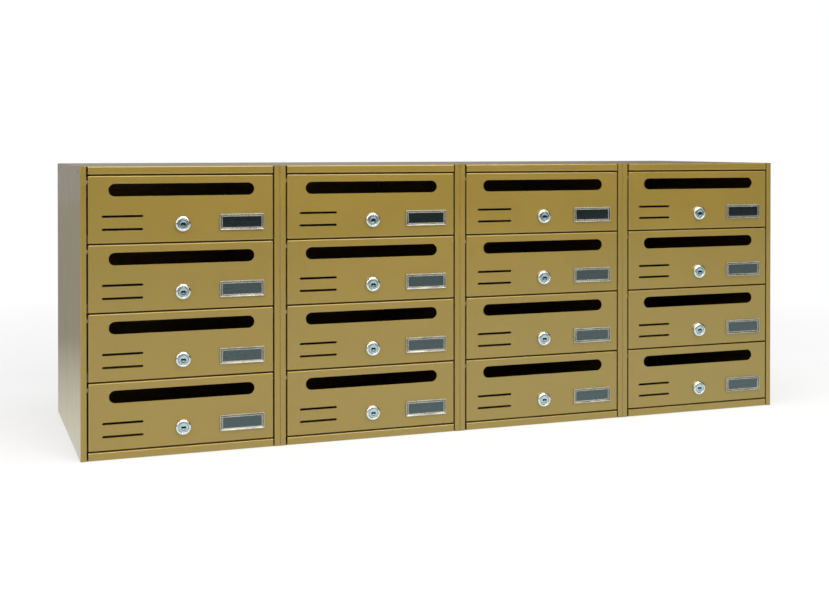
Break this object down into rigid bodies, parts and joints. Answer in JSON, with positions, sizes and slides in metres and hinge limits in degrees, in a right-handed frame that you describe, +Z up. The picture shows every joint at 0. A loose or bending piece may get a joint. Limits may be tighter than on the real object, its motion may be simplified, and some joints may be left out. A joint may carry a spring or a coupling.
{
  "type": "wall mailbox",
  "caption": "Bank of gold sheet-steel wall letterboxes with stacked top-hinged doors, each with a mail slot, vent slits, a chrome cam lock and a name plate.",
  "frame": {"origin": "middle of the underside of the whole bank", "axes": "+X along the wall to the right as seen from the front, +Y towards the wall, +Z up"},
  "size_m": [1.12, 0.365, 0.404],
  "materials": {
    "gold_paint": "satin metallic gold paint",
    "door_fittings": "polished chrome bezel with a clear and grey plastic name plate",
    "chrome_lock": "polished chrome",
    "zinc_steel": "bright zinc plating",
    "white_nylon": "plain nylon"
  },
  "bodies": {
    "cabinet": {"side_panels_left": "gold_paint", "side_panels_right": "gold_paint", "top_panels": "gold_paint", "bottom_panels": "gold_paint", "back_panels": "gold_paint", "shelves_under_row_1": "gold_paint", "shelves_under_row_2": "gold_paint", "shelves_under_row_3": "gold_paint", "hinge_pins": "zinc_steel", "hinge_washers": "white_nylon", "joining_bolts": "zinc_steel", "joining_nuts": "zinc_steel"},
    "door_r1c1": {"door_panel_r1c1": "gold_paint", "door_fittings_r1c1": "door_fittings"},
    "lock_r1c1": {"lock_core_r1c1": "chrome_lock"},
    "door_r1c2": {"door_panel_r1c2": "gold_paint", "door_fittings_r1c2": "door_fittings"},
    "lock_r1c2": {"lock_core_r1c2": "chrome_lock"},
    "door_r1c3": {"door_panel_r1c3": "gold_paint", "door_fittings_r1c3": "door_fittings"},
    "lock_r1c3": {"lock_core_r1c3": "chrome_lock"},
    "door_r1c4": {"door_panel_r1c4": "gold_paint", "door_fittings_r1c4": "door_fittings"},
    "lock_r1c4": {"lock_core_r1c4": "chrome_lock"},
    "door_r2c1": {"door_panel_r2c1": "gold_paint", "door_fittings_r2c1": "door_fittings"},
    "lock_r2c1": {"lock_core_r2c1": "chrome_lock"},
    "door_r2c2": {"door_panel_r2c2": "gold_paint", "door_fittings_r2c2": "door_fittings"},
    "lock_r2c2": {"lock_core_r2c2": "chrome_lock"},
    "door_r2c3": {"door_panel_r2c3": "gold_paint", "door_fittings_r2c3": "door_fittings"},
    "lock_r2c3": {"lock_core_r2c3": "chrome_lock"},
    "door_r2c4": {"door_panel_r2c4": "gold_paint", "door_fittings_r2c4": "door_fittings"},
    "lock_r2c4": {"lock_core_r2c4": "chrome_lock"},
    "door_r3c1": {"door_panel_r3c1": "gold_paint", "door_fittings_r3c1": "door_fittings"},
    "lock_r3c1": {"lock_core_r3c1": "chrome_lock"},
    "door_r3c2": {"door_panel_r3c2": "gold_paint", "door_fittings_r3c2": "door_fittings"},
    "lock_r3c2": {"lock_core_r3c2": "chrome_lock"},
    "door_r3c3": {"door_panel_r3c3": "gold_paint", "door_fittings_r3c3": "door_fittings"},
    "lock_r3c3": {"lock_core_r3c3": "chrome_lock"},
    "door_r3c4": {"door_panel_r3c4": "gold_paint", "door_fittings_r3c4": "door_fittings"},
    "lock_r3c4": {"lock_core_r3c4": "chrome_lock"},
    "door_r4c1": {"door_panel_r4c1": "gold_paint", "door_fittings_r4c1": "door_fittings"},
    "lock_r4c1": {"lock_core_r4c1": "chrome_lock"},
    "door_r4c2": {"door_panel_r4c2": "gold_paint", "door_fittings_r4c2": "door_fittings"},
    "lock_r4c2": {"lock_core_r4c2": "chrome_lock"},
    "door_r4c3": {"door_panel_r4c3": "gold_paint", "door_fittings_r4c3": "door_fittings"},
    "lock_r4c3": {"lock_core_r4c3": "chrome_lock"},
    "door_r4c4": {"door_panel_r4c4": "gold_paint", "door_fittings_r4c4": "door_fittings"},
    "lock_r4c4": {"lock_core_r4c4": "chrome_lock"}
  },
  "joints": [
    {"name": "door_hinge_r1c1", "type": "hinge", "parent": "cabinet", "child": "door_r1c1", "pos_m": [-0.42, -0.1725, 0.382], "axis": [-1, 0, 0], "range_deg": [0, 100]},
    {"name": "lock_turn_r1c1", "type": "hinge", "parent": "door_r1c1", "child": "lock_r1c1", "pos_m": [-0.42, -0.1775, 0.323], "axis": [0, 1, 0], "range_deg": [0, 90]},
    {"name": "door_hinge_r1c2", "type": "hinge", "parent": "cabinet", "child": "door_r1c2", "pos_m": [-0.14, -0.1725, 0.382], "axis": [-1, 0, 0], "range_deg": [0, 100]},
    {"name": "lock_turn_r1c2", "type": "hinge", "parent": "door_r1c2", "child": "lock_r1c2", "pos_m": [-0.14, -0.1775, 0.323], "axis": [0, 1, 0], "range_deg": [0, 90]},
    {"name": "door_hinge_r1c3", "type": "hinge", "parent": "cabinet", "child": "door_r1c3", "pos_m": [0.14, -0.1725, 0.382], "axis": [-1, 0, 0], "range_deg": [0, 100]},
    {"name": "lock_turn_r1c3", "type": "hinge", "parent": "door_r1c3", "child": "lock_r1c3", "pos_m": [0.14, -0.1775, 0.323], "axis": [0, 1, 0], "range_deg": [0, 90]},
    {"name": "door_hinge_r1c4", "type": "hinge", "parent": "cabinet", "child": "door_r1c4", "pos_m": [0.42, -0.1725, 0.382], "axis": [-1, 0, 0], "range_deg": [0, 100]},
    {"name": "lock_turn_r1c4", "type": "hinge", "parent": "door_r1c4", "child": "lock_r1c4", "pos_m": [0.42, -0.1775, 0.323], "axis": [0, 1, 0], "range_deg": [0, 90]},
    {"name": "door_hinge_r2c1", "type": "hinge", "parent": "cabinet", "child": "door_r2c1", "pos_m": [-0.42, -0.1725, 0.287], "axis": [-1, 0, 0], "range_deg": [0, 100]},
    {"name": "lock_turn_r2c1", "type": "hinge", "parent": "door_r2c1", "child": "lock_r2c1", "pos_m": [-0.42, -0.1775, 0.228], "axis": [0, 1, 0], "range_deg": [0, 90]},
    {"name": "door_hinge_r2c2", "type": "hinge", "parent": "cabinet", "child": "door_r2c2", "pos_m": [-0.14, -0.1725, 0.287], "axis": [-1, 0, 0], "range_deg": [0, 100]},
    {"name": "lock_turn_r2c2", "type": "hinge", "parent": "door_r2c2", "child": "lock_r2c2", "pos_m": [-0.14, -0.1775, 0.228], "axis": [0, 1, 0], "range_deg": [0, 90]},
    {"name": "door_hinge_r2c3", "type": "hinge", "parent": "cabinet", "child": "door_r2c3", "pos_m": [0.14, -0.1725, 0.287], "axis": [-1, 0, 0], "range_deg": [0, 100]},
    {"name": "lock_turn_r2c3", "type": "hinge", "parent": "door_r2c3", "child": "lock_r2c3", "pos_m": [0.14, -0.1775, 0.228], "axis": [0, 1, 0], "range_deg": [0, 90]},
    {"name": "door_hinge_r2c4", "type": "hinge", "parent": "cabinet", "child": "door_r2c4", "pos_m": [0.42, -0.1725, 0.287], "axis": [-1, 0, 0], "range_deg": [0, 100]},
    {"name": "lock_turn_r2c4", "type": "hinge", "parent": "door_r2c4", "child": "lock_r2c4", "pos_m": [0.42, -0.1775, 0.228], "axis": [0, 1, 0], "range_deg": [0, 90]},
    {"name": "door_hinge_r3c1", "type": "hinge", "parent": "cabinet", "child": "door_r3c1", "pos_m": [-0.42, -0.1725, 0.192], "axis": [-1, 0, 0], "range_deg": [0, 100]},
    {"name": "lock_turn_r3c1", "type": "hinge", "parent": "door_r3c1", "child": "lock_r3c1", "pos_m": [-0.42, -0.1775, 0.133], "axis": [0, 1, 0], "range_deg": [0, 90]},
    {"name": "door_hinge_r3c2", "type": "hinge", "parent": "cabinet", "child": "door_r3c2", "pos_m": [-0.14, -0.1725, 0.192], "axis": [-1, 0, 0], "range_deg": [0, 100]},
    {"name": "lock_turn_r3c2", "type": "hinge", "parent": "door_r3c2", "child": "lock_r3c2", "pos_m": [-0.14, -0.1775, 0.133], "axis": [0, 1, 0], "range_deg": [0, 90]},
    {"name": "door_hinge_r3c3", "type": "hinge", "parent": "cabinet", "child": "door_r3c3", "pos_m": [0.14, -0.1725, 0.192], "axis": [-1, 0, 0], "range_deg": [0, 100]},
    {"name": "lock_turn_r3c3", "type": "hinge", "parent": "door_r3c3", "child": "lock_r3c3", "pos_m": [0.14, -0.1775, 0.133], "axis": [0, 1, 0], "range_deg": [0, 90]},
    {"name": "door_hinge_r3c4", "type": "hinge", "parent": "cabinet", "child": "door_r3c4", "pos_m": [0.42, -0.1725, 0.192], "axis": [-1, 0, 0], "range_deg": [0, 100]},
    {"name": "lock_turn_r3c4", "type": "hinge", "parent": "door_r3c4", "child": "lock_r3c4", "pos_m": [0.42, -0.1775, 0.133], "axis": [0, 1, 0], "range_deg": [0, 90]},
    {"name": "door_hinge_r4c1", "type": "hinge", "parent": "cabinet", "child": "door_r4c1", "pos_m": [-0.42, -0.1725, 0.097], "axis": [-1, 0, 0], "range_deg": [0, 100]},
    {"name": "lock_turn_r4c1", "type": "hinge", "parent": "door_r4c1", "child": "lock_r4c1", "pos_m": [-0.42, -0.1775, 0.038], "axis": [0, 1, 0], "range_deg": [0, 90]},
    {"name": "door_hinge_r4c2", "type": "hinge", "parent": "cabinet", "child": "door_r4c2", "pos_m": [-0.14, -0.1725, 0.097], "axis": [-1, 0, 0], "range_deg": [0, 100]},
    {"name": "lock_turn_r4c2", "type": "hinge", "parent": "door_r4c2", "child": "lock_r4c2", "pos_m": [-0.14, -0.1775, 0.038], "axis": [0, 1, 0], "range_deg": [0, 90]},
    {"name": "door_hinge_r4c3", "type": "hinge", "parent": "cabinet", "child": "door_r4c3", "pos_m": [0.14, -0.1725, 0.097], "axis": [-1, 0, 0], "range_deg": [0, 100]},
    {"name": "lock_turn_r4c3", "type": "hinge", "parent": "door_r4c3", "child": "lock_r4c3", "pos_m": [0.14, -0.1775, 0.038], "axis": [0, 1, 0], "range_deg": [0, 90]},
    {"name": "door_hinge_r4c4", "type": "hinge", "parent": "cabinet", "child": "door_r4c4", "pos_m": [0.42, -0.1725, 0.097], "axis": [-1, 0, 0], "range_deg": [0, 100]},
    {"name": "lock_turn_r4c4", "type": "hinge", "parent": "door_r4c4", "child": "lock_r4c4", "pos_m": [0.42, -0.1775, 0.038], "axis": [0, 1, 0], "range_deg": [0, 90]}
  ]
}
